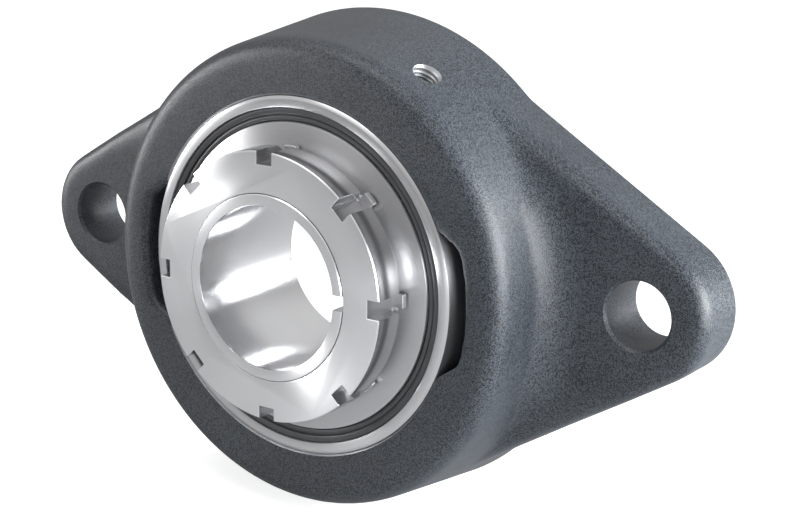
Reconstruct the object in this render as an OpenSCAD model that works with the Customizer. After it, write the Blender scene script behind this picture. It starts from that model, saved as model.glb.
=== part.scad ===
// Two-bolt oval flange unit: a cast housing with a spherical seat, and a ball bearing
// insert that an adapter sleeve, a lock washer and a slotted nut clamp on the shaft.
// +Z is up, the bearing axis lies along Y, and the front with the nut faces -Y.
// The origin is the middle of the bolt line on the mounting face. Lengths are in mm.

/* [Flange housing] */
// Distance between the two bolt holes
bolt_spacing = 144; // [138:1:170]
// Diameter of a bolt hole
bolt_hole_d = 14.4; // [10:0.2:18]
// Thickness of the flange plate
flange_t = 13.4; // [10:0.2:16]
// How far the flange's straight sides lie inside the hub's foot
waist_inset = 1.6; // [1.5:0.1:4]
// Diameter of the rounded flange tips
tip_d = 30; // [26:0.5:36]
// Rounding of the flange's front edge
flange_edge_r = 2.8; // [1:0.2:4]
// Wall of the hub round the seat, at the mounting face
hub_wall = 13.7; // [13:0.1:17]
// How far the hub's side leans in, from the mounting face to its front
hub_draft = 3.3; // [1:0.1:5]
// Height of the hub's front face above the mounting face
hub_h = 30.7; // [29:0.1:34]
// Rounding of the hub's front rim
hub_rim_r = 4; // [1:0.5:6]
// Largest radius of the fillet between hub and flange plate
foot_r = 9; // [3:0.5:11]
// Height of the seat centre above the mounting face
seat_h = 20.5; // [20:0.1:22]
// Height of the lip that the seat leaves round the opening behind the insert
rear_lip = 3.1; // [2:0.1:7]
// Depth of the filling slots beyond the outer ring's sphere
slot_reach = 2.3; // [1:0.1:4]
// Room beside the outer ring's width in a filling slot, on each side
slot_side_room = 3.65; // [2:0.05:5]
// Core diameter of the tapped lubrication hole
lube_hole_d = 5; // [4:0.1:7]
// Depth of the tapped part of the lubrication hole
lube_hole_depth = 7.5; // [5:0.5:8]
// Direction of the lubrication hole, in degrees up from the bolt line
lube_angle = 60; // [45:1:90]

/* [Bearing insert] */
// Ball diameter
ball_d = 12; // [11:0.25:13]
// Inner ring between the small end of its bore and the balls
inner_wall = 4; // [3.4:0.1:5]
// Outer ring between the balls and its sphere
outer_wall = 4; // [3.4:0.1:5]
// Depth of the inner race below its land
inner_race_depth = 2.4; // [1.6:0.1:2.8]
// Depth of the outer race below its land
outer_race_depth = 2.1; // [1.6:0.1:2.6]
// How far the inner ring stands out of the outer ring, on each side
inner_proud = 0.1; // [0.1:0.1:1]
// Width of the step that the seal rests on in the outer ring
seal_ledge_w = 2.35; // [2:0.05:2.6]
// Chamfer between the outer ring's sphere and its faces
ring_chamfer = 0.45; // [0.2:0.05:0.8]
// Thickness of the cage sheet
cage_t = 1; // [0.6:0.1:1.2]
// Room between the cage and either land
cage_room = 1; // [0.8:0.1:1.6]
// Thickness of the flinger
flinger_t = 0.85; // [0.6:0.05:1]

/* [Adapter sleeve and nut] */
// Shaft diameter, which is the sleeve's bore
shaft_d = 35; // [30:0.5:36]
// Wall of the sleeve at its thread, where the inner ring's tapered bore is smallest too
sleeve_wall = 2.5; // [2.2:0.1:4]
// How far the sleeve stands out behind the inner ring
sleeve_tail = 0.6; // [0.2:0.1:4]
// How far the sleeve stands out of the nut
sleeve_proud = 0.2; // [0:0.1:1]
// Width of the slit along the sleeve
slit_w = 3.2; // [2:0.2:4]
// Thickness of the lock washer
washer_t = 1.3; // [1:0.1:2]
// Diameter of the lock washer without its tabs
washer_d = 52.4; // [48:0.2:54]
// Length of a lock washer tab
tab_l = 2.5; // [1:0.1:4]
// Width of a lock washer tab
tab_w = 2.9; // [2:0.1:3.6]
// Diameter of the lock nut
nut_d = 58; // [56:0.5:62]
// Thickness of the lock nut
nut_t = 8.7; // [7:0.1:12]
// Width of a spanner slot in the nut
nut_slot_w = 3.9; // [3:0.1:6]
// Depth of a spanner slot in the nut
nut_slot_depth = 2.9; // [2:0.1:3.4]

/* [Hidden] */
$fn = 120;
small = 0.01;            // keeps a cutter clear of a face that it must pass
ball_count = 9;
slot_count = 8;          // spanner slots in the nut, and tabs on the washer
taper = 1 / 24;          // radius lost for each mm of length, a cone of 1:12
seat_clear = 0.1;        // radial gap between the outer ring and its seat
race_clear = 0.1;        // gap between a ball and the bottom of either race
race_conformity = 1.04;  // race radius over ball radius
pocket_clear = 0.2;      // gap between a ball and its cage pocket
rivet_d = 2.4;
rivet_head_d = 3.8;
rivet_head_t = 0.7;
fit_clear = 0.04;        // radial gap of threads, the tapered fit and rivets
seal_cage_gap = 0.4;     // room between the cage and the seal's steel washer
seal_t = 0.8;            // sheet of the seal's steel washer
rubber_t = 0.5;          // rubber over that sheet
lip_gap = 0.3;           // room that the lip and the labyrinth leave
bead_w = 1.65;           // radial width of the seal's outer bead
bead_rise = 1.1;         // the bead stands this far above the seal's web
labyrinth_w = 1;         // radial width of the lip inside the bead
bead_step = 0.4;         // drop from the bead to the labyrinth lip inside it
bead_drop = 0.5;         // the bead lies this far below the ring's face
groove_w = 0.25;         // fine groove between bead and labyrinth lip
flinger_drop = 0.45;     // the flinger lies this far below the ring's face
lip_w = 1;
slot_side_angle = 56.6;  // direction that a filling slot's side faces
slot_corner_r = 1.6;
grease_groove_depth = 0.9;
grease_hole_d = 1.8;
grease_hole_u = -6.2;    // place of the outer ring's grease holes along the axis
lube_duct_d = 3;
rear_step = 0.8;         // ledge between the seat and the rear opening
rear_draft = 0.5;        // the rear opening is cast, and is this much wider at the mounting face
edge_break = 0.4;
hole_break = 0.6;
thread_relief = 0.8;

tip_r = tip_d / 2;
ball_r = ball_d / 2;
taper_r = shaft_d / 2 + sleeve_wall;
pitch_r = taper_r + inner_wall + ball_r;
ring_r = pitch_r + ball_r + outer_wall;
outer_land_r = pitch_r + ball_r - outer_race_depth;
inner_land_r = pitch_r - ball_r + inner_race_depth;
seat_r = ring_r + seat_clear;
hub_base_r = seat_r + hub_wall;
waist_r = hub_base_r - waist_inset;
race_r = ball_r * race_conformity;
outer_race_center = pitch_r + ball_r + race_clear - race_r;
inner_race_center = pitch_r - ball_r - race_clear + race_r;
rear_opening_r = seat_r - rear_lip;
rear_mouth_r = rear_opening_r + rear_draft;
seat_lip_r = rear_opening_r + rear_step;
seat_lip_h = seat_h - sqrt(seat_r * seat_r - seat_lip_r * seat_lip_r);
mouth_r = sqrt(seat_r * seat_r - (hub_h - seat_h) * (hub_h - seat_h));
pocket_r = ball_r + pocket_clear;
cage_reach = pocket_r + cage_t;
seal_step_u = cage_reach + seal_cage_gap;
bead_u = seal_step_u + seal_t + rubber_t + bead_rise;
ring_w = 2 * (bead_u + bead_drop);
inner_w = ring_w + 2 * inner_proud;
seal_recess_r = outer_land_r + seal_ledge_w;
bead_r = seal_recess_r - fit_clear;
labyrinth_r = bead_r - bead_w - labyrinth_w;
flinger_r = labyrinth_r - lip_gap;
flinger_top_u = ring_w / 2 - flinger_drop;
lip_r = inner_land_r + lip_gap;
nut_back_h = seat_h + inner_w / 2 + washer_t;
nut_front_h = nut_back_h + nut_t;
sleeve_front_h = nut_front_h + sleeve_proud;
sleeve_back_h = seat_h - inner_w / 2 - sleeve_tail;
thread_r = taper_r - fit_clear;

cast_grey = [0.26, 0.29, 0.33];
steel = [0.78, 0.79, 0.80];
bright_steel = [0.86, 0.87, 0.88];
sheet_steel = [0.66, 0.67, 0.68];
rubber_black = [0.13, 0.13, 0.14];

// Points along an arc about [cx, cy], from angle a0 to angle a1
function arc(cx, cy, r, a0, a1, steps) =
    [for (k = [0:steps]) let (a = a0 + (a1 - a0) * k / steps)
        [cx + r * cos(a), cy + r * sin(a)]];

// Turns a shape built on the XY plane so that its height runs from the mounting face to -Y
module from_mounting_face() {
    rotate([90, 0, 0]) children();
}

// Moves a shape built about the seat centre into place; side -1 is the mounting side
module at_seat(side = 1) {
    from_mounting_face() translate([0, 0, seat_h]) mirror([0, 0, side < 0 ? 1 : 0]) children();
}

// The cast housing

// Direction of the flange's straight sides, as the angle of their normal from the height
function side_lean(r_hub, r_tip) = asin((r_hub - r_tip) / (bolt_spacing / 2));

// Radius of the hub's drafted side at a height
function hub_r(h) = hub_base_r - hub_draft * h / hub_h;

// Outline of the plate moved in by d: two tip arcs joined by lines tangent to the waist circle.
// The short chords between those lines lie inside the hub.
function plate_ring(d, z) = let (
    lean = side_lean(waist_r, tip_r),
    near = (waist_r - d) * [sin(lean), cos(lean)],
    right = concat([near], arc(bolt_spacing / 2, 0, tip_r - d, 90 - lean, lean - 90, 14), [[near[0], -near[1]]]))
    [for (p = concat(right, [for (q = right) -q])) [p[0], p[1], z]];

// Faces that join a row of rings of n points each, and close both ends
function ring_faces(n, rings) = concat(
    [[for (k = [0:n - 1]) k]],
    [[for (k = [n - 1:-1:0]) (rings - 1) * n + k]],
    [for (j = [0:rings - 2], k = [0:n - 1]) let (m = (k + 1) % n, low = j * n, high = low + n)
        each [[low + k, high + k, high + m], [low + k, high + m, low + m]]]);

// Flange plate with a rounded front edge
module flange_plate() {
    rounding = arc(0, flange_t - flange_edge_r, flange_edge_r, 90, 0, 6);
    rings = concat([for (q = rounding) plate_ring(flange_edge_r - q[0], q[1])], [plate_ring(0, 0)]);
    polyhedron([for (r = rings) each r], ring_faces(len(rings[0]), len(rings)), convexity = 4);
}

// Drafted hub with a rounded front rim
module hub() {
    draft = atan((hub_r(0) - hub_r(hub_h)) / hub_h);
    rim_h = hub_h - hub_rim_r;
    rotate_extrude()
        polygon(concat(
            [[0, 0], [hub_r(0), 0]],
            arc(hub_r(rim_h) - hub_rim_r, rim_h, hub_rim_r, draft, 90, 9),
            [[0, hub_h]]));
}

// Distance from the axis to the start of the flange's edge rounding, in direction a
function flat_reach(a) = let (
    lean = side_lean(waist_r, tip_r),
    toward_tip = cos(a - (90 - lean)))
    (waist_r - flange_edge_r) / max(toward_tip, 0.3);

// Radius of the fillet between hub and plate in direction a: it fades out where the
// flange's side runs into the hub
function foot_at(a) = max(0.3, min(foot_r, flat_reach(abs(a)) - hub_r(flange_t) + 0.2));

// One side's fillet, as a band of arcs whose radius follows foot_at
module foot_fillet() {
    bite = 0.2;
    steps = 7;
    reach = 57;
    turn = 3;
    function ring(a) = let (
        f = foot_at(a),
        cx = hub_r(flange_t + f) - bite + f,
        cz = flange_t - bite + f,
        profile = concat([[cx - f - 2.5, flange_t - 1]], [[cx - f - 2.5, cz]],
                         arc(cx, cz, f, 180, 270, steps),
                         [[cx, flange_t - 1]]))
        [for (p = profile) [p[0] * cos(a), p[0] * sin(a), p[1]]];
    angles = [for (a = [-reach:turn:reach]) a];
    rings = [for (a = angles) ring(a)];
    polyhedron([for (r = rings) each r], ring_faces(len(rings[0]), len(rings)), convexity = 4);
}

// Outline of a filling slot on the bolt line, with rounded corners at its outer end
module filling_slot_outline() {
    reach = ring_r + slot_reach;
    mouth_angle = asin((ring_w / 2 + slot_side_room) / ring_r);
    side_d = ring_r * cos(slot_side_angle - mouth_angle);
    turn = slot_side_angle - acos((side_d - slot_corner_r) / (reach - slot_corner_r));
    corner = (reach - slot_corner_r) * [cos(turn), sin(turn)];
    inner = [side_d * cos(slot_side_angle), side_d * sin(slot_side_angle)]
        + 3 * [-sin(slot_side_angle), cos(slot_side_angle)];
    upper = arc(corner[0], corner[1], slot_corner_r, slot_side_angle, turn, 5);
    lower = [for (k = [len(upper) - 1:-1:0]) [upper[k][0], -upper[k][1]]];
    polygon(concat([inner], upper, arc(0, 0, reach, turn, -turn, 10), lower, [[inner[0], -inner[1]]]));
}

module seat_cavity() {
    intersection() {
        translate([0, 0, seat_h]) sphere(seat_r);
        translate([0, 0, seat_lip_h]) cylinder(r = seat_r + 1, h = 2 * seat_r);
    }
    rear_slope = rear_draft / seat_lip_h;
    translate([0, 0, -1])
        cylinder(r1 = rear_mouth_r + rear_slope, r2 = rear_opening_r - rear_slope, h = seat_lip_h + 2);
    // broken edges at the rear opening and the seat's mouth
    translate([0, 0, -small]) cylinder(r1 = rear_mouth_r + 1, r2 = rear_mouth_r - 0.5, h = 1.5);
    translate([0, 0, hub_h - edge_break])
        cylinder(r1 = mouth_r - small, r2 = mouth_r + edge_break, h = edge_break + small);
    // grease groove that joins the tapped hole to the ring's grease holes
    translate([0, 0, seat_h + grease_hole_u - 1])
        cylinder(r = seat_r + grease_groove_depth, h = lube_duct_d / 2 - grease_hole_u + 1);
}

module lubrication_hole() {
    surface_r = hub_r(seat_h);
    translate([0, 0, seat_h]) rotate([0, 0, lube_angle]) rotate([0, 90, 0]) {
        translate([0, 0, seat_r - 2]) cylinder(d = lube_duct_d, h = surface_r - seat_r, $fn = 48);
        translate([0, 0, surface_r - lube_hole_depth]) cylinder(d = lube_hole_d, h = lube_hole_depth + 2, $fn = 48);
    }
}

module bolt_hole() {
    translate([0, 0, -1]) cylinder(d = bolt_hole_d, h = flange_t + 2);
    translate([0, 0, flange_t - hole_break])
        cylinder(d1 = bolt_hole_d - small, d2 = bolt_hole_d + 2 * hole_break, h = hole_break + small);
}

module housing() {
    color(cast_grey) from_mounting_face() difference() {
        union() {
            flange_plate();
            hub();
            foot_fillet();
            mirror([1, 0, 0]) foot_fillet();
        }
        seat_cavity();
        for (side = [0, 1]) mirror([side, 0, 0])
            translate([0, 0, seat_h]) linear_extrude(hub_h - seat_h + 1) filling_slot_outline();
        for (side = [-1, 1]) translate([side * bolt_spacing / 2, 0, 0]) bolt_hole();
        lubrication_hole();
    }
}

// The insert's rings, balls and cage

module outer_ring() {
    half = ring_w / 2;
    face_r = sqrt(ring_r * ring_r - half * half) - ring_chamfer;
    chamfer_reach = ring_r - face_r;
    color(steel) at_seat() difference() {
        intersection() {
            sphere(ring_r);
            rotate_extrude()
                polygon([[0, -half], [face_r, -half], [ring_r, chamfer_reach - half],
                         [ring_r, half - chamfer_reach], [face_r, half], [0, half]]);
        }
        cylinder(r = outer_land_r, h = ring_w + 2, center = true);
        for (side = [0, 1]) mirror([0, 0, side]) {
            translate([0, 0, seal_step_u]) cylinder(r = seal_recess_r, h = half);
            translate([0, 0, half - edge_break])
                cylinder(r1 = seal_recess_r - small, r2 = seal_recess_r + edge_break, h = edge_break + small);
        }
        rotate_extrude() translate([outer_race_center, 0]) circle(race_r);
        for (turn = [0, 180]) rotate([0, 0, lube_angle + turn]) translate([0, 0, grease_hole_u])
            rotate([0, 90, 0]) translate([0, 0, outer_land_r - 2])
                cylinder(d = grease_hole_d, h = ring_r - outer_land_r + 4, $fn = 32);
    }
}

module inner_ring() {
    half = inner_w / 2;
    land = inner_land_r;
    front_r = taper_r;
    back_r = front_r + inner_w * taper;
    color(steel) at_seat() rotate_extrude() difference() {
        polygon([[front_r + edge_break, half], [land - edge_break, half], [land, half - edge_break],
                 [land, edge_break - half], [land - edge_break, -half], [back_r + edge_break, -half],
                 [back_r - edge_break * taper, edge_break - half],
                 [front_r + edge_break * taper, half - edge_break]]);
        translate([inner_race_center, 0]) circle(race_r);
    }
}

function ball_angle(i) = 90 + (i - 1) * 360 / ball_count;

module ball(i) {
    color(bright_steel) at_seat() rotate([0, 0, ball_angle(i)]) translate([pitch_r, 0, 0]) sphere(ball_r);
}

// Flat band of the cage's width
module cage_band(low, high) {
    half_w = min(pitch_r - inner_land_r, outer_land_r - pitch_r) - cage_room;
    translate([0, 0, low]) difference() {
        cylinder(r = pitch_r + half_w, h = high - low);
        translate([0, 0, -1]) cylinder(r = pitch_r - half_w, h = high - low + 2);
    }
}

// Half of a pressed ribbon cage: flat webs, and one domed pocket for each ball
module cage_half(side) {
    color(sheet_steel) at_seat(side) difference() {
        intersection() {
            union() {
                cage_band(0, cage_t);
                for (i = [1:ball_count]) rotate([0, 0, ball_angle(i)])
                    translate([pitch_r, 0, 0]) sphere(pocket_r + cage_t);
            }
            cage_band(0, cage_reach + 1);
        }
        for (i = [1:ball_count]) rotate([0, 0, ball_angle(i)]) translate([pitch_r, 0, 0]) {
            sphere(pocket_r);
        }
        for (i = [1:ball_count]) rotate([0, 0, ball_angle(i + 0.5)]) translate([pitch_r, 0, -1])
            cylinder(r = rivet_d / 2 + fit_clear, h = cage_t + 2, $fn = 32);
    }
}

module cage_rivets() {
    color(sheet_steel) at_seat()
        for (i = [1:ball_count]) rotate([0, 0, ball_angle(i + 0.5)]) translate([pitch_r, 0, 0]) {
            cylinder(d = rivet_d, h = 2 * cage_t + 0.2, center = true, $fn = 32);
            for (side = [0, 1]) mirror([0, 0, side])
                translate([0, 0, cage_t])
                    cylinder(d1 = rivet_head_d, d2 = rivet_head_d * 0.6, h = rivet_head_t, $fn = 32);
        }
}

// The seals: a steel washer that carries a rubber ring, and a flinger in front of them

module seal_washer(side) {
    inner = lip_r + lip_w;
    color(sheet_steel) at_seat(side) translate([0, 0, seal_step_u]) difference() {
        cylinder(r = bead_r, h = seal_t);
        translate([0, 0, -1]) cylinder(r = inner, h = seal_t + 2);
    }
}

module seal(side) {
    low = seal_step_u + seal_t;
    web = low + rubber_t;
    bead_in = bead_r - bead_w;
    washer_in = lip_r + lip_w;
    color(rubber_black) at_seat(side) rotate_extrude()
        polygon([
            [lip_r, seal_step_u], [washer_in - fit_clear, seal_step_u], [washer_in - fit_clear, low],
            [bead_r, low], [bead_r, bead_u - 0.2], [bead_r - 0.2, bead_u],
            [bead_in + groove_w, bead_u], [bead_in + groove_w, web + 0.4], [bead_in, web + 0.4],
            [bead_in, bead_u - bead_step], [labyrinth_r, bead_u - bead_step],
            [labyrinth_r, web], [lip_r + 0.5, web], [lip_r, web - 0.4]]);
}

module flinger(side) {
    bore_r = inner_land_r + fit_clear;
    rim = flinger_r;
    top = flinger_top_u;
    low = top - flinger_t;
    color(steel) at_seat(side) rotate_extrude()
        polygon([[bore_r, low], [rim, low], [rim, top - 0.2], [rim - 0.2, top], [bore_r, top]]);
}

// The adapter sleeve, its lock washer and its nut

module adapter_sleeve() {
    bore_r = shaft_d / 2;
    back_h = sleeve_back_h;
    taper_end_h = nut_back_h - washer_t;
    back_r = thread_r + (taper_end_h - back_h) * taper;
    b = edge_break;
    relief_r = thread_r - thread_relief;
    color(bright_steel) from_mounting_face() difference() {
        rotate_extrude()
            polygon([
                [bore_r + b, back_h], [back_r - b, back_h], [back_r - b * taper, back_h + b],
                [thread_r, taper_end_h], [relief_r, taper_end_h + 0.3], [relief_r, nut_back_h - 0.2],
                [thread_r, nut_back_h + 0.6], [thread_r, sleeve_front_h - b],
                [thread_r - b, sleeve_front_h], [bore_r + b, sleeve_front_h],
                [bore_r, sleeve_front_h - b], [bore_r, back_h + b]]);
        translate([0, -slit_w / 2, back_h - 1]) cube([back_r + 1, slit_w, sleeve_front_h - back_h + 2]);
    }
}

module lock_washer() {
    bore_r = taper_r + 0.1;
    tab_r = washer_d / 2 + tab_l;
    tongue_w = slit_w - 0.3;
    tongue_in = shaft_d / 2 + 0.7;
    color(sheet_steel) from_mounting_face() translate([0, 0, nut_back_h - washer_t])
        linear_extrude(washer_t) {
            difference() {
                union() {
                    circle(d = washer_d);
                    intersection() {
                        circle(tab_r);
                        for (i = [0:slot_count / 2 - 1]) rotate(i * 360 / slot_count)
                            square([2 * tab_r + 2, tab_w], center = true);
                    }
                }
                circle(bore_r);
            }
            translate([tongue_in, -tongue_w / 2]) square([bore_r + 1 - tongue_in, tongue_w]);
        }
}

module lock_nut() {
    rim = nut_d / 2;
    b = edge_break;
    bore_r = taper_r;
    color(bright_steel) from_mounting_face() translate([0, 0, nut_back_h]) difference() {
        rotate_extrude()
            polygon([
                [bore_r + b, 0], [rim - 2 * b, 0], [rim, 2 * b], [rim, nut_t - b], [rim - b, nut_t],
                [bore_r + b, nut_t], [bore_r, nut_t - b], [bore_r, b]]);
        for (i = [0:slot_count - 1]) rotate([0, 0, i * 360 / slot_count])
            translate([rim - nut_slot_depth, -nut_slot_w / 2, -1]) cube([rim, nut_slot_w, nut_t + 2]);
    }
}

housing();
outer_ring();
inner_ring();
for (i = [1:ball_count]) ball(i);
cage_half(1);  // cage_front_half
cage_half(-1);  // cage_back_half
cage_rivets();
seal_washer(1);  // front_seal_washer
seal(1);  // front_seal
flinger(1);  // front_flinger
seal_washer(-1);  // back_seal_washer
seal(-1);  // back_seal
flinger(-1);  // back_flinger
adapter_sleeve();
lock_washer();
lock_nut();
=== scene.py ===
# %% [markdown]
# A flange bearing unit: a cast two-bolt housing with a ball bearing insert, clamped to its shaft
# by a slit adapter sleeve, a lock washer and a slotted nut. Every part that turns comes off a
# lathe, so most pieces here are made the same way: an outline of the half section is drawn point
# by point with extrude, and spun round the bearing axis. The housing is the odd one out. It was
# poured in sand, so its body is made as one soft form first, and the machined seat, slots and
# holes are cut into it afterwards, in the order of the real work.

# %% Load the frame and set out the units
import math
from collections import Counter

import bpy
from mathutils import Matrix, Vector


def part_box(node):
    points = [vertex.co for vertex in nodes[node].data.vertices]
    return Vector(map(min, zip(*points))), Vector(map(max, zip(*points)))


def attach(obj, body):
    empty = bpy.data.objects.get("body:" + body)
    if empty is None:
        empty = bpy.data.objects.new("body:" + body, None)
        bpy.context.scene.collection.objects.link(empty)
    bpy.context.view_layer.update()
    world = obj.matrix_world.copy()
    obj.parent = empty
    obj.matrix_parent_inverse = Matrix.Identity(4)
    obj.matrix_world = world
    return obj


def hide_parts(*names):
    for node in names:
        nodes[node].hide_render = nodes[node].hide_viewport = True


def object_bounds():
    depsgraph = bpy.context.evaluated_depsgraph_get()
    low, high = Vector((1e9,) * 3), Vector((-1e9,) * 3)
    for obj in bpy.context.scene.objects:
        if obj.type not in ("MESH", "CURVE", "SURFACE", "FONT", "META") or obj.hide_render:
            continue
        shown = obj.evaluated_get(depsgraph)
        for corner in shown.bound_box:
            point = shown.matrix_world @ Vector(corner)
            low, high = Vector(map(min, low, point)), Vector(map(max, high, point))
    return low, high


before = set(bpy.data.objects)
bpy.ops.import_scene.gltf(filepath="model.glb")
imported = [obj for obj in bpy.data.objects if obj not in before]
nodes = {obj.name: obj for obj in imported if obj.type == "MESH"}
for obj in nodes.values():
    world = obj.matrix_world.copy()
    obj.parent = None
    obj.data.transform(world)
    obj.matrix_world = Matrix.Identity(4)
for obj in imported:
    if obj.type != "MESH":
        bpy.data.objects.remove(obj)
cad_low, cad_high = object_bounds()
MM = 0.001
print("frame box in mm:", [round(v / MM, 1) for v in (*cad_low, *cad_high)])

# %% [markdown]
# The bearing axis lies along Y, and the front of the unit faces -Y. It is easier to think in
# radius and height: the radius is measured from the bearing axis, and the height from the
# mounting face towards the front. The heights come from the frame's own pieces, so that they
# stay right if the part changes.

# %% Heights and radii that the pieces share, in mm
def heights(node):
    low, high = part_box(node)
    return -high.y / MM, -low.y / MM


def outer_radius(node):
    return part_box(node)[1].z / MM


RING_BACK, RING_FRONT = heights("outer_ring")
INNER_BACK, INNER_FRONT = heights("inner_ring")
WASHER_BACK, WASHER_FRONT = heights("lock_washer")
NUT_BACK, NUT_FRONT = heights("lock_nut")
SLEEVE_BACK, SLEEVE_FRONT = heights("adapter_sleeve")
HUB_FRONT = heights("housing")[1]
SEAT_HEIGHT = (RING_BACK + RING_FRONT) / 2
RING_R = outer_radius("outer_ring")
NUT_R = outer_radius("lock_nut")
FLINGER_R = outer_radius("front_flinger")
HUB_BASE_R = outer_radius("housing")
PLATE_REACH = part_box("housing")[1].x / MM
SEAT_R = RING_R + 0.1
THREAD_R = 20.0
SHAFT_R = 17.5
print("seat height", round(SEAT_HEIGHT, 2), "ring radius", round(RING_R, 2))

# %% [markdown]
# Blender's operators act on whatever is selected, so each step begins by clearing the selection
# and making one object active. Modifiers are applied at once, and each finished piece keeps its
# place in its mesh, with its object at the origin.

# %% Helpers for selecting, applying and placing
def at(radius, height, angle=0.0):
    """A point given by radius, height and direction about the bearing axis, in metres."""
    turn = math.radians(angle)
    return Vector((radius * math.cos(turn), -height, radius * math.sin(turn))) * MM


def only(obj):
    if bpy.context.mode != "OBJECT":
        bpy.ops.object.mode_set(mode="OBJECT")
    bpy.ops.object.select_all(action="DESELECT")
    obj.select_set(True)
    bpy.context.view_layer.objects.active = obj


def apply_modifier(obj, kind, **settings):
    only(obj)
    modifier = obj.modifiers.new(kind.lower(), kind)
    for key, value in settings.items():
        setattr(modifier, key, value)
    bpy.ops.object.modifier_apply(modifier=modifier.name)


def settle(obj, name):
    """Merges doubles, turns the faces outwards and puts the object at the origin."""
    only(obj)
    obj.name = name
    obj.data.name = name
    bpy.ops.object.transform_apply(location=True, rotation=True, scale=True)
    bpy.ops.object.mode_set(mode="EDIT")
    bpy.ops.mesh.select_all(action="SELECT")
    bpy.ops.mesh.remove_doubles(threshold=0.002 * MM)
    bpy.ops.mesh.normals_make_consistent(inside=False)
    bpy.ops.object.mode_set(mode="OBJECT")
    return obj


def cut(obj, *cutters):
    """Takes the cutters away from obj, one after another, and removes them."""
    for cutter in cutters:
        apply_modifier(
            obj, "BOOLEAN", operation="DIFFERENCE", object=cutter, solver="EXACT", material_mode="INDEX"
        )
        bpy.data.objects.remove(cutter)


def drop_folds(obj):
    """Removes the slivers that a cut can leave: two faces back to back on the same corners."""
    only(obj)
    bpy.ops.object.mode_set(mode="EDIT")
    bpy.ops.mesh.select_mode(type="FACE")
    bpy.ops.mesh.select_face_by_sides(number=4, type="GREATER", extend=False)
    bpy.ops.mesh.quads_convert_to_tris()
    bpy.ops.mesh.select_all(action="DESELECT")
    bpy.ops.object.mode_set(mode="OBJECT")
    corners = [tuple(sorted(face.vertices)) for face in obj.data.polygons]
    count = Counter(corners)
    for face, key in zip(obj.data.polygons, corners):
        face.select = count[key] > 1
    bpy.ops.object.mode_set(mode="EDIT")
    bpy.ops.mesh.delete(type="FACE")
    bpy.ops.object.mode_set(mode="OBJECT")


def triangles(obj):
    return sum(len(p.vertices) - 2 for p in obj.data.polygons)


# %% [markdown]
# The lathe. A plane is merged to a single vertex at the first point of the section. That vertex
# is extruded from point to point, which draws the outline, and the outline is spun a full turn.
# An outline that touches the axis closes itself there when the doubles are merged.

# %% Draw an outline, and spin it into a turned piece
def arc(center, radius, start, end, steps):
    """Points along an arc in a flat outline, from one angle to another, in degrees."""
    points = []
    for k in range(steps + 1):
        a = math.radians(start + (end - start) * k / steps)
        points.append((center[0] + radius * math.cos(a), center[1] + radius * math.sin(a)))
    return points


def drawn(points):
    """An object whose edges join these points in a ring, left in edit mode with all selected."""
    start_clean()
    bpy.ops.mesh.primitive_plane_add(size=MM, location=points[0])
    obj = bpy.context.object
    bpy.ops.object.mode_set(mode="EDIT")
    bpy.ops.mesh.select_mode(type="VERT")
    bpy.ops.mesh.select_all(action="SELECT")
    bpy.ops.mesh.merge(type="CENTER")
    for a, b in zip(points, points[1:] + points[:1]):
        bpy.ops.mesh.extrude_vertices_move(TRANSFORM_OT_translate={"value": b - a})
    bpy.ops.mesh.select_all(action="SELECT")
    bpy.ops.mesh.remove_doubles(threshold=0.002 * MM)
    return obj


def start_clean():
    if bpy.context.mode != "OBJECT":
        bpy.ops.object.mode_set(mode="OBJECT")
    bpy.ops.object.select_all(action="DESELECT")


def turned(name, section, steps=192):
    """A solid of revolution from a closed section of (radius, height) points in mm."""
    obj = drawn([at(r, h) for r, h in section])
    bpy.ops.mesh.spin(steps=steps, angle=math.tau, center=(0, 0, 0), axis=(0, 1, 0))
    return settle(obj, name)


def pressed(name, outline, low, high):
    """A flat piece from a closed outline of (x, z) points in mm, between two heights."""
    obj = drawn([Vector((x, -low, z)) * MM for x, z in outline])
    bpy.ops.mesh.edge_face_add()
    bpy.ops.mesh.extrude_region_move(TRANSFORM_OT_translate={"value": (0, (low - high) * MM, 0)})
    return settle(obj, name)


def smooth(obj, angle=32):
    only(obj)
    bpy.ops.object.shade_smooth_by_angle(angle=math.radians(angle))
    print(obj.name, triangles(obj), "triangles")
    return obj


# %% [markdown]
# The casting starts from the frame's own housing. Its loose triangles are merged, its machined
# features are filled with plugs, and the mounting face is drawn out past its place. A voxel
# remesh then turns all of it into one skin of even quads. The two filling slots, which let the
# insert in sideways, are cast, so they are cut now, and a second remesh and some smoothing give
# every edge and inner corner the small soft radius that sand leaves.

# %% Sizes of the casting, and its two skins
EXTRA = 3.0            # how far the body runs past the mounting face before it is machined
VOXEL = 0.72
BOLT_X = PLATE_REACH - 15.0
BOLT_R = 7.2
PLATE_T = 13.4
HUB_FRONT_R = HUB_BASE_R - 3.3
RIM_R = 4.0
SLOT_REACH = RING_R + 2.3
SLOT_SIDE_ANGLE = 56.6
SLOT_CORNER_R = 1.6
SLOT_SIDE_ROOM = 3.65
PAINTED_CASTING = bpy.data.materials.new("painted_casting")
BORED_IRON = bpy.data.materials.new("bored_iron")


def hub_radius(height):
    return HUB_BASE_R + (HUB_FRONT_R - HUB_BASE_R) * height / HUB_FRONT


def wear_skin(obj, skin):
    """Gives a body or a cutter the two skins, and one of them to all its faces."""
    obj.data.materials.clear()
    for material in (PAINTED_CASTING, BORED_IRON):
        obj.data.materials.append(material)
    for face in obj.data.polygons:
        face.material_index = skin
    return obj


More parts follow.
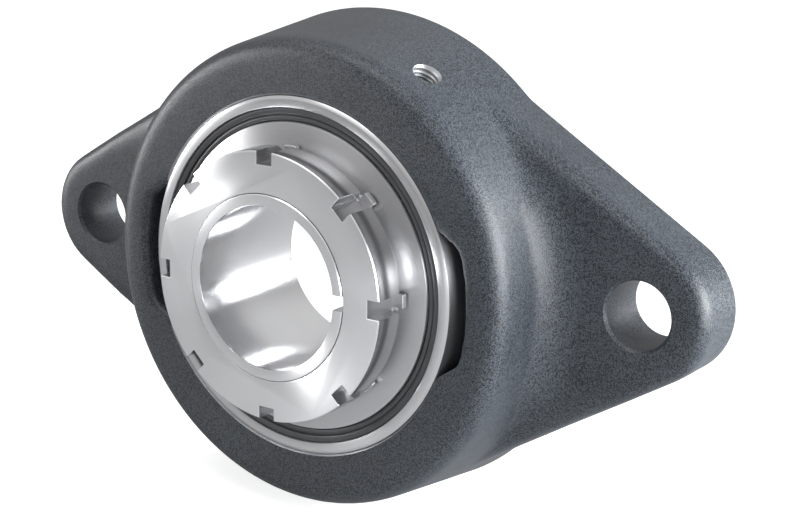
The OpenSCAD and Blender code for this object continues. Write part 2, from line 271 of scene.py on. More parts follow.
# %% The slots' outline, and a cutter from it
def slot_outline():
    """A filling slot's outline on the +X side."""
    half_width = (RING_FRONT - RING_BACK) / 2 + SLOT_SIDE_ROOM
    mouth_angle = math.degrees(math.asin(half_width / RING_R))
    side = RING_R * math.cos(math.radians(SLOT_SIDE_ANGLE - mouth_angle))
    to_corner = SLOT_REACH - SLOT_CORNER_R
    turn = SLOT_SIDE_ANGLE - math.degrees(math.acos((side - SLOT_CORNER_R) / to_corner))
    lean = math.radians(SLOT_SIDE_ANGLE)
    corner = (to_corner * math.cos(math.radians(turn)), to_corner * math.sin(math.radians(turn)))
    inner = (side * math.cos(lean) - 5 * math.sin(lean), side * math.sin(lean) + 5 * math.cos(lean))
    upper = arc(corner, SLOT_CORNER_R, SLOT_SIDE_ANGLE, turn, 8)
    lower = [(x, -z) for x, z in reversed(upper)]
    back = arc((0, 0), SLOT_REACH, turn, -turn, 24)
    return [inner] + upper + back[1:-1] + lower + [(inner[0], -inner[1])]


def slot_cutter(side):
    outline = [(side * x, z) for x, z in slot_outline()]
    return wear_skin(pressed("slot_cutter", outline, SEAT_HEIGHT, HUB_FRONT + 2), 0)


def plug(radius, top_radius, low, high, x=0.0):
    start_clean()
    bpy.ops.mesh.primitive_cone_add(
        vertices=192,
        radius1=radius * MM,
        radius2=top_radius * MM,
        depth=(high - low) * MM,
        location=(x * MM, -(low + high) / 2 * MM, 0),
        rotation=(math.radians(90), 0, 0),
    )
    return bpy.context.object


# %% Fill the housing's holes, and remesh it as one poured body
casting = bpy.data.objects.new("housing_casting", nodes["housing"].data.copy())
bpy.context.scene.collection.objects.link(casting)
only(casting)
bpy.ops.mesh.customdata_custom_splitnormals_clear()
settle(casting, "housing_casting")
for vertex in casting.data.vertices:
    if abs(vertex.co.y) < 0.01 * MM:
        vertex.co.y = EXTRA * MM
core_top = HUB_FRONT - RIM_R - 0.5
plugs = [
    plug(hub_radius(-EXTRA) - 0.02, hub_radius(core_top) - 0.02, -EXTRA, core_top),
    plug(HUB_FRONT_R - RIM_R - 0.3, HUB_FRONT_R - RIM_R - 0.3, core_top - 5, HUB_FRONT),
    plug(BOLT_R + 1.2, BOLT_R + 1.2, -EXTRA, PLATE_T, BOLT_X),
    plug(BOLT_R + 1.2, BOLT_R + 1.2, -EXTRA, PLATE_T, -BOLT_X),
]
only(casting)
for filler in plugs:
    filler.select_set(True)
bpy.ops.object.join()
bpy.ops.object.transform_apply(location=True, rotation=True, scale=True)
apply_modifier(casting, "REMESH", mode="VOXEL", voxel_size=VOXEL * MM)
wear_skin(casting, 0)
cut(casting, slot_cutter(1), slot_cutter(-1))
apply_modifier(casting, "REMESH", mode="VOXEL", voxel_size=VOXEL * MM, use_smooth_shade=True)
apply_modifier(casting, "SMOOTH", factor=0.5, iterations=8)
print("cast body", triangles(casting), "triangles")

# %% [markdown]
# Where the plate runs into the hub, the pattern maker's fillet fades out over a wide stretch. A
# vertex group holds how soft each place is, full near the hub and nothing at the tips, and a
# second Smooth modifier works through that group alone.

# %% Soften the blend from hub to plate
FOOT_IN, FOOT_OUT = HUB_BASE_R - 1.5, HUB_BASE_R + 17.0
foot_blend = casting.vertex_groups.new(name="foot_blend")
steps = [[] for _ in range(11)]
for vertex in casting.data.vertices:
    x, y, z = vertex.co / MM
    reach = math.hypot(x, z)
    if abs(x) > 30 and FOOT_IN < reach < FOOT_OUT and -y > 1:
        fade = min(1.0, (reach - FOOT_IN) / 3, (FOOT_OUT - reach) / 9)
        steps[round(10 * fade)].append(vertex.index)
for k, members in enumerate(steps):
    if k and members:
        foot_blend.add(members, k / 10, "REPLACE")
apply_modifier(casting, "SMOOTH", factor=0.5, iterations=70, vertex_group="foot_blend")
print("softened", sum(len(members) for members in steps), "vertices")

# %% [markdown]
# Machining. The mounting face is milled flat, which a bisect does. The spherical seat, its
# mouth, the lip behind it and the grease groove are one turned cutter. That cutter and the
# lubrication hole's cutter wear the skin of bare bored iron, and the Boolean modifier hands that
# skin to the faces they cut, so the paint ends exactly where the tool went in. The bolt holes'
# cutters wear the paint.

# %% Cut the mounting face, the seat and the holes
LIP_R = SEAT_R - 2.3
REAR_R = SEAT_R - 3.1
REAR_DRAFT = 0.5
LIP_H = SEAT_HEIGHT - math.sqrt(SEAT_R**2 - LIP_R**2)
MOUTH_R = math.sqrt(SEAT_R**2 - (HUB_FRONT - SEAT_HEIGHT) ** 2)
GROOVE_R = SEAT_R + 0.9
EDGE = 0.4


def seat_angle(height):
    return math.degrees(math.asin((height - SEAT_HEIGHT) / SEAT_R))


def seat_cutter():
    groove_low, groove_high = SEAT_HEIGHT - 7.2, SEAT_HEIGHT + 1.5
    center = (0, SEAT_HEIGHT)
    section = [(0, -1), (REAR_R + REAR_DRAFT + 2, -1), (REAR_R + REAR_DRAFT, 1), (REAR_R, LIP_H)]
    section += arc(center, SEAT_R, seat_angle(LIP_H), seat_angle(groove_low), 8)
    section += [(GROOVE_R, groove_low), (GROOVE_R, groove_high)]
    section += arc(center, SEAT_R, seat_angle(groove_high), seat_angle(HUB_FRONT - EDGE), 10)
    section += [(MOUTH_R + EDGE + 1, HUB_FRONT + 1), (0, HUB_FRONT + 1)]
    return wear_skin(turned("seat_cutter", section, 240), 1)


def bolt_cutter(x):
    """A drilled bolt hole, with its edges broken."""
    chamfer = 0.6
    section = [(0, -1), (BOLT_R + 1.4, -1), (BOLT_R, 0.4), (BOLT_R, PLATE_T - chamfer)]
    section += [(BOLT_R + chamfer + 1, PLATE_T + 1), (0, PLATE_T + 1)]
    obj = turned("bolt_cutter", section, 96)
    obj.location.x = x * MM
    return wear_skin(settle(obj, "bolt_cutter"), 0)


LUBE_ANGLE = 60.0
LUBE_CORE_R = 2.5
LUBE_THREAD_R = 2.85
LUBE_PITCH = 0.8
LUBE_MOUTH = hub_radius(SEAT_HEIGHT)
LUBE_DEPTH = 7.5


def to_lube_hole(obj, name):
    """Stands a piece that was turned about the bearing axis on the lubrication hole's axis."""
    outward = Vector((math.cos(math.radians(LUBE_ANGLE)), 0, math.sin(math.radians(LUBE_ANGLE))))
    turn = Vector((0, -1, 0)).rotation_difference(outward).to_matrix().to_4x4()
    obj.matrix_world = Matrix.Translation((0, -SEAT_HEIGHT * MM, 0)) @ turn
    return settle(obj, name)


def lube_cutter():
    bottom = LUBE_MOUTH - LUBE_DEPTH
    section = [(0, SEAT_R - 2), (1.5, SEAT_R - 2), (1.5, bottom), (LUBE_CORE_R, bottom + 0.6),
               (LUBE_CORE_R, bottom + 1.2), (LUBE_THREAD_R, bottom + 1.7), (LUBE_THREAD_R, LUBE_MOUTH - 0.35),
               (LUBE_THREAD_R + 1, LUBE_MOUTH + 0.65), (0, LUBE_MOUTH + 0.65)]
    return wear_skin(to_lube_hole(turned("lube_cutter", section, 64), "lube_cutter"), 1)


only(casting)
bpy.ops.object.mode_set(mode="EDIT")
bpy.ops.mesh.select_all(action="SELECT")
bpy.ops.mesh.bisect(
    plane_co=(0, 0, 0), plane_no=(0, 1, 0), use_fill=True, clear_outer=True, threshold=0.0005 * MM
)
bpy.ops.object.mode_set(mode="OBJECT")
cut(casting, seat_cutter(), bolt_cutter(BOLT_X), bolt_cutter(-BOLT_X), lube_cutter())
settle(casting, "housing_casting")
drop_folds(casting)
for face in casting.data.polygons:
    if abs(face.center.y) < 0.01 * MM:
        face.material_index = 1
smooth(casting, 40)
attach(casting, "housing")
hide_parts("housing")

# %% [markdown]
# The tapped hole is empty on this unit, so its thread shows. A tap leaves a helical ridge: a
# small closed profile that climbs one pitch in each turn. The Screw modifier makes exactly that.

# %% Thread of the lubrication hole
def helix(name, profile, pitch, turns, start, steps=48):
    """A helical ridge about the bearing axis from a closed profile of (radius, height) points."""
    obj = drawn([at(r, start + h) for r, h in profile])
    bpy.ops.mesh.edge_face_add()
    bpy.ops.object.mode_set(mode="OBJECT")
    only(obj)
    bpy.ops.object.transform_apply(location=True, rotation=True, scale=True)
    apply_modifier(
        obj, "SCREW", axis="Y", angle=math.tau, screw_offset=-pitch * MM, iterations=turns,
        steps=steps, render_steps=steps, use_merge_vertices=False,
    )
    bpy.ops.object.mode_set(mode="EDIT")
    bpy.ops.mesh.select_all(action="SELECT")
    bpy.ops.mesh.select_mode(type="VERT")
    bpy.ops.mesh.select_all(action="SELECT")
    bpy.ops.mesh.remove_doubles(threshold=0.001 * MM)
    bpy.ops.mesh.select_all(action="DESELECT")
    bpy.ops.mesh.select_non_manifold()
    bpy.ops.mesh.fill_holes(sides=len(profile))
    return settle(obj, name)


ridge_root = LUBE_THREAD_R + 0.03
lube_ridge = [(LUBE_CORE_R, -0.06), (LUBE_CORE_R, 0.06), (ridge_root, 0.34), (ridge_root, -0.34)]
lube_thread = helix("lube_hole_thread", lube_ridge, LUBE_PITCH, 5, LUBE_MOUTH - 5.1)
to_lube_hole(lube_thread, "lube_hole_thread")
smooth(lube_thread, 25)
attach(lube_thread, "housing")

# %% [markdown]
# The insert's rings are ground all over. Their sections carry the small rounds that a grinder
# leaves between faces, one or two tenths of a millimetre, and those rounds catch the light as
# the thin bright lines that set a bearing apart from a plain washer.

# %% Outer ring, inner ring, seals and flingers
LAND_OUTER = 33.9
LAND_INNER = 26.4
RECESS_R = 36.25
FACE_R = math.sqrt(RING_R**2 - ((RING_FRONT - RING_BACK) / 2) ** 2) - 0.45
HALF = (RING_FRONT - RING_BACK) / 2
STEP_U = 7.6
BEAD_U = 10.0
WEB_U = 8.9


def mirrored(half_section):
    """A section from its front half, given as (radius, distance from the seat plane)."""
    front = [(r, SEAT_HEIGHT + u) for r, u in half_section]
    back = [(r, SEAT_HEIGHT - u) for r, u in reversed(half_section)]
    return front + back


def outer_ring():
    chamfer_top = HALF - 0.05
    sphere_u = HALF - (RING_R - FACE_R) + 1.35
    race = arc((30 + 6.1 - 6.24, 0), 6.24, 50, 5, 8)
    half = [(r, u) for r, u in reversed(race)]
    half += [(LAND_OUTER, 4.82), (LAND_OUTER, STEP_U - 0.15), (LAND_OUTER + 0.15, STEP_U), (RECESS_R, STEP_U)]
    half += [(RECESS_R, HALF - 0.4), (RECESS_R + 0.12, HALF - 0.12), (RECESS_R + 0.4, HALF)]
    half += [(FACE_R - 0.25, HALF), (FACE_R, chamfer_top)]
    start = math.degrees(math.asin(sphere_u / RING_R))
    half += arc((0, 0), RING_R, start, 1, 14)
    return turned("outer_ring_ground", mirrored(half), 256)


ring = smooth(outer_ring(), 30)
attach(ring, "outer_race")
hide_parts("outer_ring")


def seal_section(side):
    bead_out, bead_in = RECESS_R - 0.04, RECESS_R - 0.04 - 1.65
    lip = LAND_INNER + 0.3
    labyrinth = FLINGER_R + 0.3
    half = [(lip, STEP_U), (lip + 0.96, STEP_U), (lip + 0.96, STEP_U + 0.8), (bead_out, STEP_U + 0.8)]
    half += [(bead_out, BEAD_U - 0.3), (bead_out - 0.1, BEAD_U - 0.08), (bead_out - 0.35, BEAD_U)]
    half += [(bead_in + 0.5, BEAD_U), (bead_in + 0.3, BEAD_U - 0.15), (bead_in + 0.25, WEB_U + 0.4)]
    half += [(bead_in, WEB_U + 0.4), (bead_in - 0.05, BEAD_U - 0.5), (bead_in - 0.2, BEAD_U - 0.4)]
    half += [(labyrinth + 0.2, BEAD_U - 0.4), (labyrinth, BEAD_U - 0.55), (labyrinth, WEB_U)]
    half += [(lip + 0.5, WEB_U), (lip, WEB_U - 0.4)]
    return [(r, SEAT_HEIGHT + side * u) for r, u in half]


def flinger_section(side):
    bore = LAND_INNER + 0.04
    top, low = HALF - 0.45, HALF - 1.3
    half = [(bore, low), (FLINGER_R - 0.1, low), (FLINGER_R, low + 0.1), (FLINGER_R, top - 0.22)]
    half += [(FLINGER_R - 0.08, top - 0.07), (FLINGER_R - 0.24, top), (bore, top)]
    return [(r, SEAT_HEIGHT + side * u) for r, u in half]


for side, place in ((1, "front"), (-1, "back")):
    rubber = smooth(turned(place + "_seal_ring", seal_section(side)), 40)
    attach(rubber, "outer_race")
    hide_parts(place + "_seal")
    disc = smooth(turned(place + "_flinger_disc", flinger_section(side)), 30)
    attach(disc, "shaft_group")
    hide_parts(place + "_flinger")

# %% [markdown]
# The nut is turned, then slotted eight times for a hook spanner. The slots are cut with boxes
# that are modelled once and copied round. A narrow bevel after the cut breaks the sharp edges,
# as a tumbling drum does with the real nuts.

# %% Lock nut
SLOT_COUNT = 8
SLOT_W = 3.9
SLOT_FLOOR_R = NUT_R - 2.9


def box_cutter(x_low, x_high, width, low, high, angle=0.0):
    start_clean()
    bpy.ops.mesh.primitive_cube_add(size=MM)
    obj = bpy.context.object
    obj.scale = (x_high - x_low, high - low, width)
    turn = Matrix.Rotation(math.radians(-angle), 4, "Y")
    middle = Matrix.Translation(Vector(((x_low + x_high) / 2, -(low + high) / 2, 0)) * MM)
    obj.matrix_world = turn @ middle @ obj.matrix_basis
    return settle(obj, "box_cutter")


def break_edges(obj, width, angle=35):
    only(obj)
    bpy.ops.object.mode_set(mode="EDIT")
    bpy.ops.mesh.select_all(action="SELECT")
    bpy.ops.mesh.dissolve_limited(angle_limit=math.radians(0.5))
    bpy.ops.object.mode_set(mode="OBJECT")
    apply_modifier(
        obj, "BEVEL", width=width * MM, segments=1, limit_method="ANGLE",
        angle_limit=math.radians(angle), use_clamp_overlap=False,
    )


def lock_nut():
    bore = THREAD_R
    section = [(bore + 0.7, NUT_BACK), (NUT_R - 1.3, NUT_BACK)]
    section += [(NUT_R - 0.08, NUT_BACK + 1.3), (NUT_R, NUT_BACK + 1.55)]
    section += arc((NUT_R - 0.4, NUT_FRONT - 0.4), 0.4, 0, 90, 4)
    section += [(bore + 0.16, NUT_FRONT), (bore, NUT_FRONT - 0.16)]
    section += [(bore, NUT_BACK + 0.7)]
    obj = turned("lock_nut_turned", section, 160)
    for k in range(SLOT_COUNT):
        cut(obj, box_cutter(SLOT_FLOOR_R, NUT_R + 2, SLOT_W, NUT_BACK - 1, NUT_FRONT + 1, k * 360 / SLOT_COUNT))
    break_edges(obj, 0.07)
    return obj


nut = smooth(lock_nut(), 30)
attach(nut, "shaft_group")
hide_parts("lock_nut")

# %% [markdown]
# The adapter sleeve is a thin tapered tube with one slit, threaded at the nut's end. Its thread
# is left out here, so the tube runs plain into the nut, just under the thread's radius.

# %% Adapter sleeve
def adapter_sleeve():
    taper_end = INNER_FRONT
    back_r = THREAD_R - 0.04 + (taper_end - SLEEVE_BACK) / 24
    crest = THREAD_R - 0.08
    section = [(SHAFT_R + 0.4, SLEEVE_BACK), (back_r - 0.3, SLEEVE_BACK), (back_r, SLEEVE_BACK + 0.3)]
    section += [(THREAD_R - 0.04, taper_end), (crest - 0.5, taper_end + 0.5), (crest - 0.5, NUT_BACK)]
    section += [(crest, NUT_BACK + 0.5), (crest, SLEEVE_FRONT - 0.22), (crest - 0.22, SLEEVE_FRONT)]
    section += [(SHAFT_R + 0.3, SLEEVE_FRONT), (SHAFT_R + 0.08, SLEEVE_FRONT - 0.1), (SHAFT_R, SLEEVE_FRONT - 0.32)]
    section += [(SHAFT_R, SLEEVE_BACK + 0.4)]
    obj = turned("adapter_sleeve_tube", section)
    cut(obj, box_cutter(10, 25, 3.2, SLEEVE_BACK - 1, SLEEVE_FRONT + 1))
    return obj


sleeve = smooth(adapter_sleeve(), 30)
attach(sleeve, "shaft_group")
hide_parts("adapter_sleeve")

# %% [markdown]
# The lock washer is stamped from sheet. Its outline is drawn flat and pushed up to the sheet's
# thickness: eight tabs between round stretches, each tab in line with a slot of the nut.

# %% Lock washer
WASHER_R = 26.2
TAB_R = 28.7
TAB_HALF = 1.45


def washer_outline():
    points = []
    for k in range(SLOT_COUNT):
        middle = k * 360 / SLOT_COUNT
        half_tab = math.degrees(math.asin(TAB_HALF / TAB_R))
        half_root = math.degrees(math.asin(TAB_HALF / WASHER_R))
        points += arc((0, 0), TAB_R, middle - half_tab, middle + half_tab, 3)
        points += arc((0, 0), WASHER_R, middle + half_root, middle + 360 / SLOT_COUNT - half_root, 12)
    return points


def lock_washer():
    obj = pressed("lock_washer_stamped", washer_outline(), WASHER_BACK, WASHER_FRONT)
    bore = plug(THREAD_R + 0.1, THREAD_R + 0.1, WASHER_BACK - 1, WASHER_FRONT + 1)
    cut(obj, settle(bore, "bore_cutter"))
    break_edges(obj, 0.08)
    return obj


washer = smooth(lock_washer(), 30)
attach(washer, "shaft_group")
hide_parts("lock_washer")

# %% [markdown]
# Finishes. Three effects are node groups: the grain of a sand casting, which only the casting's
# paint uses, and the fine rings that a lathe or grinder leaves and the faint unevenness of rolled
# sheet and rubber, which several materials share. The rings follow the distance from the bearing
# axis on flat faces and the height on round sides, so one group serves every turned piece.

# %% Node groups for the shared effects
def new_group(name, inputs, outputs):
    group = bpy.data.node_groups.new(name, "ShaderNodeTree")
    for label, default in inputs:
        socket = group.interface.new_socket(label, in_out="INPUT", socket_type="NodeSocketFloat")
        socket.default_value = default
    for label in outputs:
        group.interface.new_socket(label, in_out="OUTPUT", socket_type="NodeSocketFloat")
    entry = group.nodes.new("NodeGroupInput")
    leave = group.nodes.new("NodeGroupOutput")
    return group, entry, leave


def noise(tree, vector, scale, detail=3.0, roughness=0.55):
    node = tree.nodes.new("ShaderNodeTexNoise")
    node.inputs["Scale"].default_value = scale
    node.inputs["Detail"].default_value = detail
    node.inputs["Roughness"].default_value = roughness
    tree.links.new(vector, node.inputs["Vector"])
    return node.outputs["Fac"]


def math_node(tree, operation, a, b):
    node = tree.nodes.new("ShaderNodeMath")
    node.operation = operation
    for socket, value in zip(node.inputs, (a, b)):
        if isinstance(value, (int, float)):
            socket.default_value = value
        else:
            tree.links.new(value, socket)
    return node.outputs[0]


def cast_grain_group():
    group, entry, leave = new_group("cast_grain", [("Grain", 1.0), ("Waves", 1.0)], ["Height", "Tone"])
    place = group.nodes.new("ShaderNodeTexCoord").outputs["Object"]
    fine = noise(group, place, 4200, 2, 0.6)
    coarse = noise(group, place, 1800, 2, 0.5)
    wide = noise(group, place, 45, 2, 0.5)
    speckle = math_node(group, "ADD", math_node(group, "MULTIPLY", fine, 0.75), math_node(group, "MULTIPLY", coarse, 0.25))
    grain = math_node(group, "MULTIPLY", speckle, entry.outputs["Grain"])
    waves = math_node(group, "MULTIPLY", math_node(group, "MULTIPLY", wide, 3), entry.outputs["Waves"])
    group.links.new(math_node(group, "ADD", grain, waves), leave.inputs["Height"])
    contrast = math_node(group, "MULTIPLY", math_node(group, "SUBTRACT", speckle, 0.5), 14.0)
    tone = math_node(group, "ADD", contrast, wide)
    group.links.new(tone, leave.inputs["Tone"])
    return group


def lathe_lines_group():
    group, entry, leave = new_group("lathe_lines", [("Lines per metre", 9000.0)], ["Height", "Tone"])
    place = group.nodes.new("ShaderNodeTexCoord").outputs["Object"]
    split = group.nodes.new("ShaderNodeSeparateXYZ")
    group.links.new(place, split.inputs[0])
    x, y, z = split.outputs
    radius = math_node(group, "SQRT", math_node(group, "ADD", math_node(group, "MULTIPLY", x, x), math_node(group, "MULTIPLY", z, z)), 0.0)
    along = math_node(group, "SUBTRACT", radius, math_node(group, "MULTIPLY", y, 0.83))
    line = group.nodes.new("ShaderNodeTexNoise")
    line.noise_dimensions = "1D"
    line.inputs["Detail"].default_value = 3.0
    line.inputs["Roughness"].default_value = 0.6
    line.inputs["Scale"].default_value = 1.0
    group.links.new(math_node(group, "MULTIPLY", along, entry.outputs["Lines per metre"]), line.inputs["W"])
    group.links.new(line.outputs["Fac"], leave.inputs["Height"])
    cloud = noise(group, place, 90, 2, 0.5)
    tone = math_node(group, "ADD", math_node(group, "MULTIPLY", line.outputs["Fac"], 0.5), math_node(group, "MULTIPLY", cloud, 0.5))
    group.links.new(tone, leave.inputs["Tone"])
    return group


def sheet_group():
    group, entry, leave = new_group("fine_unevenness", [("Scale", 700.0)], ["Height", "Tone"])
    place = group.nodes.new("ShaderNodeTexCoord").outputs["Object"]
    node = group.nodes.new("ShaderNodeTexNoise")
    node.inputs["Detail"].default_value = 4.0
    group.links.new(place, node.inputs["Vector"])
    group.links.new(entry.outputs["Scale"], node.inputs["Scale"])
    group.links.new(node.outputs["Fac"], leave.inputs["Height"])
    group.links.new(noise(group, place, 120, 2, 0.5), leave.inputs["Tone"])
    return group


CAST_GRAIN = cast_grain_group()
LATHE_LINES = lathe_lines_group()
FINE_UNEVENNESS = sheet_group()

# %% [markdown]
# Each material is a Principled shader whose colour and roughness wander a little between two
# values, driven by the group's tone, with a bump from the group's height. Plain constants are
# set on the shader itself.

# %% Materials
def finish(name, group, settings, dark, light, rough, bump, metallic, brushed=0.0):
    material = bpy.data.materials.get(name) or bpy.data.materials.new(name)
    material.use_nodes = True
    tree = material.node_tree
    shader = tree.nodes["Principled BSDF"]
    shader.inputs["Metallic"].default_value = metallic
    if brushed:
        shader.inputs["Anisotropic"].default_value = brushed
        shader.inputs["Anisotropic Rotation"].default_value = 0.25
        round_axis = tree.nodes.new("ShaderNodeTangent")
        round_axis.direction_type = "RADIAL"
        round_axis.axis = "Y"
        tree.links.new(round_axis.outputs[0], shader.inputs["Tangent"])
    effect = tree.nodes.new("ShaderNodeGroup")
    effect.node_tree = group
    for key, value in settings.items():
        effect.inputs[key].default_value = value
    colour = tree.nodes.new("ShaderNodeMix")
    colour.data_type = "RGBA"
    colour.inputs["A"].default_value = (*dark, 1)
    colour.inputs["B"].default_value = (*light, 1)
    tree.links.new(effect.outputs["Tone"], colour.inputs["Factor"])
    tree.links.new(colour.outputs["Result"], shader.inputs["Base Color"])
    span = tree.nodes.new("ShaderNodeMapRange")
    span.inputs["To Min"].default_value = rough[0]
    span.inputs["To Max"].default_value = rough[1]
    tree.links.new(effect.outputs["Tone"], span.inputs["Value"])
    tree.links.new(span.outputs["Result"], shader.inputs["Roughness"])
    relief = tree.nodes.new("ShaderNodeBump")
    relief.inputs["Strength"].default_value = 1.0
    relief.inputs["Distance"].default_value = bump * MM
    tree.links.new(effect.outputs["Height"], relief.inputs["Height"])
    tree.links.new(relief.outputs["Normal"], shader.inputs["Normal"])
    return material


finish(
    "painted_casting", CAST_GRAIN, {"Grain": 1.0, "Waves": 1.0},
    (0.004, 0.006, 0.010), (0.066, 0.077, 0.090), (0.38, 0.48), 0.08, 0.0,
)
finish(
    "bored_iron", LATHE_LINES, {"Lines per metre": 5000.0},
    (0.30, 0.31, 0.32), (0.42, 0.43, 0.44), (0.30, 0.42), 0.004, 0.9, 0.5,
)
GROUND_STEEL = finish(
    "ground_steel", LATHE_LINES, {"Lines per metre": 9000.0},
    (0.54, 0.54, 0.55), (0.64, 0.64, 0.65), (0.26, 0.34), 0.0008, 1.0, 0.8,
)
TURNED_STEEL = finish(
    "turned_steel_bright", LATHE_LINES, {"Lines per metre": 7000.0},
    (0.70, 0.70, 0.71), (0.80, 0.80, 0.81), (0.28, 0.34), 0.0007, 1.0, 0.85,
)
# The nut's round side: a smoother turned surface whose colour is a darker copy of the turned steel, painted shade
# that holds back the lamps' white on that side.
SHADED_TURNED_SIDE = finish(
    "turned_steel_side_painted_shade", LATHE_LINES, {"Lines per metre": 5000.0},
    (0.52, 0.52, 0.53), (0.62, 0.62, 0.63), (0.20, 0.26), 0.0010, 1.0,
)
REAMED_STEEL = finish(
    "reamed_steel", LATHE_LINES, {"Lines per metre": 5000.0},
    (0.58, 0.58, 0.59), (0.68, 0.68, 0.69), (0.16, 0.22), 0.0006, 1.0, 0.75,
)
SHEET_STEEL = finish(
    "rolled_sheet", FINE_UNEVENNESS, {"Scale": 900.0},
    (0.50, 0.50, 0.51), (0.66, 0.66, 0.67), (0.28, 0.42), 0.003, 1.0,
)
FLINGER_STEEL = finish(
    "flinger_sheet", LATHE_LINES, {"Lines per metre": 3000.0},
    (0.48, 0.48, 0.49), (0.56, 0.56, 0.57), (0.32, 0.38), 0.0008, 1.0, 0.85,
)
SEAL_RUBBER = finish(
    "nitrile_rubber", FINE_UNEVENNESS, {"Scale": 1600.0},
    (0.045, 0.046, 0.049), (0.075, 0.076, 0.080), (0.34, 0.44), 0.004, 0.0,
)
POLISHED_STEEL = finish(
    "lapped_steel", FINE_UNEVENNESS, {"Scale": 300.0},
    (0.80, 0.80, 0.80), (0.88, 0.88, 0.88), (0.06, 0.12), 0.0005, 1.0,
)


def paint(obj, *materials):
    obj.data.materials.clear()
    for material in materials:
        obj.data.materials.append(material)


paint(lube_thread, BORED_IRON)
paint(ring, GROUND_STEEL)
# Side faces: on the nut the darker copy of its steel, which is painted shade; on the sleeve reamed steel.
for piece, side_finish_and_shade in ((nut, SHADED_TURNED_SIDE), (sleeve, REAMED_STEEL)):
    paint(piece, TURNED_STEEL, side_finish_and_shade)
    for face in piece.data.polygons:
        face.material_index = 1 if abs(face.normal.y) < 0.5 else 0
paint(washer, SHEET_STEEL)
for place in ("front", "back"):
    paint(bpy.data.objects[place + "_seal_ring"], SEAL_RUBBER)
    paint(bpy.data.objects[place + "_flinger_disc"], FLINGER_STEEL)
    paint(nodes[place + "_seal_washer"], SHEET_STEEL)
paint(nodes["inner_ring"], GROUND_STEEL)
for name in ("cage_front_half", "cage_back_half", "cage_rivets"):
    paint(nodes[name], SHEET_STEEL)
for name, node in nodes.items():
    if name.startswith("ball_"):
        paint(node, POLISHED_STEEL)

# %% [markdown]
# The unit stands on a pale floor in soft studio light. Bright metal shows its surroundings more
# than itself, so the surround matters as much as the lamps: the camera sees plain white, while
# polished faces see a studio that is white overhead and falls off towards the horizon, with one
# broad panel behind the unit on the right. That panel also draws the long soft highlight down
# the side of the hub.

# %% Surround
FLOOR_Z = cad_low.z - 0.0002


def seen_rays(tree):
    """Two factors: 1 for the rays that must meet white, and 1 for glossy rays alone."""
    path = tree.nodes.new("ShaderNodeLightPath")
    direct = math_node(tree, "MAXIMUM", path.outputs["Is Camera Ray"], path.outputs["Is Transmission Ray"])
    glossy = path.outputs["Is Glossy Ray"]
    return math_node(tree, "MAXIMUM", direct, glossy), glossy


def ramp(tree, value, low, high, start, end):
    node = tree.nodes.new("ShaderNodeMapRange")
    node.interpolation_type = "SMOOTHSTEP"
    for label, number in (("From Min", low), ("From Max", high), ("To Min", start), ("To Max", end)):
        node.inputs[label].default_value = number
    tree.links.new(value, node.inputs["Value"])
    return node.outputs["Result"]


world = bpy.data.worlds.new("studio")
world.use_nodes = True
bpy.context.scene.world = world
tree = world.node_tree
tree.nodes.clear()
seen, glossy = seen_rays(tree)
compass = tree.nodes.new("ShaderNodeSeparateXYZ")
tree.links.new(tree.nodes.new("ShaderNodeTexCoord").outputs["Generated"], compass.inputs[0])
overhead = ramp(tree, compass.outputs["Z"], 0.0, 0.75, 0.32, 0.92)
shade = math_node(tree, "SUBTRACT", 1.0, math_node(tree, "MULTIPLY", glossy, math_node(tree, "SUBTRACT", 1.0, overhead)))
plain = tree.nodes.new("ShaderNodeBackground")
plain.inputs["Color"].default_value = (0.97, 0.98, 1.0, 1)
plain.inputs["Strength"].default_value = 0.42
bright = tree.nodes.new("ShaderNodeBackground")
bright.inputs["Color"].default_value = (1, 1, 1, 1)
tree.links.new(shade, bright.inputs["Strength"])
mix = tree.nodes.new("ShaderNodeMixShader")
tree.links.new(seen, mix.inputs[0])
tree.links.new(plain.outputs[0], mix.inputs[1])
tree.links.new(bright.outputs[0], mix.inputs[2])
tree.links.new(mix.outputs[0], tree.nodes.new("ShaderNodeOutputWorld").inputs["Surface"])

# %% [markdown]
# The floor has to be white to the camera and still hold a shadow. Its plain shading is kept, and
# a little light of its own is added for camera rays alone, just enough to lift open floor to
# white. Under the unit the sum stays below white, and that is the shadow.

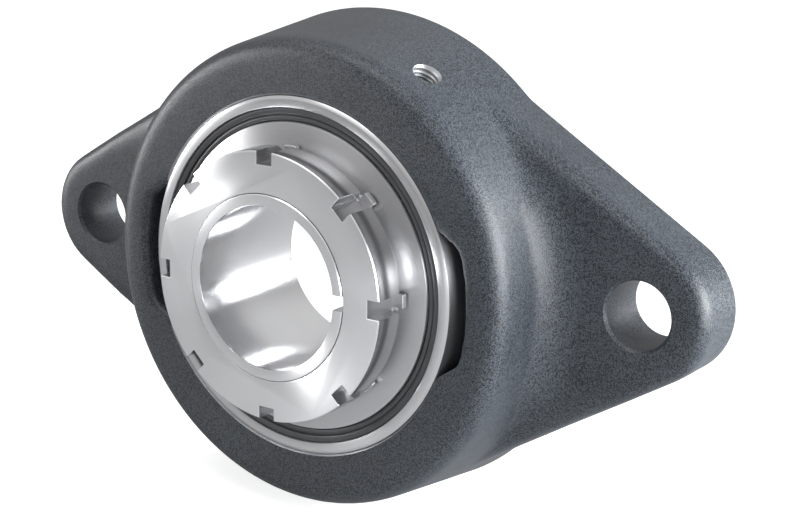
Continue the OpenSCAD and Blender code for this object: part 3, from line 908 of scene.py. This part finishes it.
# %% Floor
start_clean()
bpy.ops.mesh.primitive_plane_add(size=12, location=(0, 0, FLOOR_Z))
floor = bpy.context.object
floor.name = "floor"
floor_paint = bpy.data.materials.new("pale_floor")
floor_paint.use_nodes = True
tree = floor_paint.node_tree
matt = tree.nodes["Principled BSDF"]
matt.inputs["Base Color"].default_value = (0.62, 0.62, 0.62, 1)
matt.inputs["Roughness"].default_value = 0.9
matt.inputs["Specular IOR Level"].default_value = 0.0
seen, glossy = seen_rays(tree)
lift = tree.nodes.new("ShaderNodeEmission")
less = math_node(tree, "MULTIPLY", glossy, 0.74)
tree.links.new(math_node(tree, "SUBTRACT", math_node(tree, "MULTIPLY", seen, 0.78), less), lift.inputs["Strength"])
both = tree.nodes.new("ShaderNodeAddShader")
tree.links.new(matt.outputs[0], both.inputs[0])
tree.links.new(lift.outputs[0], both.inputs[1])
tree.links.new(both.outputs[0], tree.nodes["Material Output"].inputs["Surface"])
floor.data.materials.append(floor_paint)


# %% Lamps
def lamp(name, place, size, power, colour=(1, 1, 1)):
    light = bpy.data.lights.new(name, "AREA")
    light.shape = "RECTANGLE"
    light.size, light.size_y = size
    light.energy = power
    light.color = colour
    obj = bpy.data.objects.new(name, light)
    bpy.context.scene.collection.objects.link(obj)
    obj.location = place
    obj.rotation_euler = (Vector((0, -0.02, 0)) - Vector(place)).to_track_quat("-Z", "Y").to_euler()
    obj.visible_camera = False
    return obj


lamp("top_lamp", (-0.12, -0.36, 0.75), (0.45, 0.30), 2.0)
lamp("right_panel", (0.68, 0.18, 0.13), (0.60, 0.30), 12.5, (0.96, 0.98, 1.0))
lamp("right_front_strip", (0.64, -0.24, 0.03), (0.30, 0.14), 2.8, (0.96, 0.98, 1.0))
left_strip = lamp("left_strip", (-0.80, -0.38, 0.10), (0.16, 0.30), 5.5)
left_strip.visible_diffuse = False

# %% [markdown]
# The camera stands to the right of the bearing axis and a little above it, where the photograph
# was taken from. Its place and angles were fitted to the circles of the nut, the rings and the
# bolt holes.

# %% Camera
camera = bpy.data.cameras.new("camera")
camera.lens = 87.43
camera.sensor_width = 36.0
camera.clip_start = 0.01
camera.clip_end = 20
view = bpy.data.objects.new("camera", camera)
view.location = (0.24291, -0.34279, 0.11019)
view.rotation_euler = [math.radians(a) for a in (75.025, -0.441, 34.840)]
bpy.context.scene.collection.objects.link(view)
bpy.context.scene.camera = view
bpy.context.scene.view_settings.view_transform = "Standard"
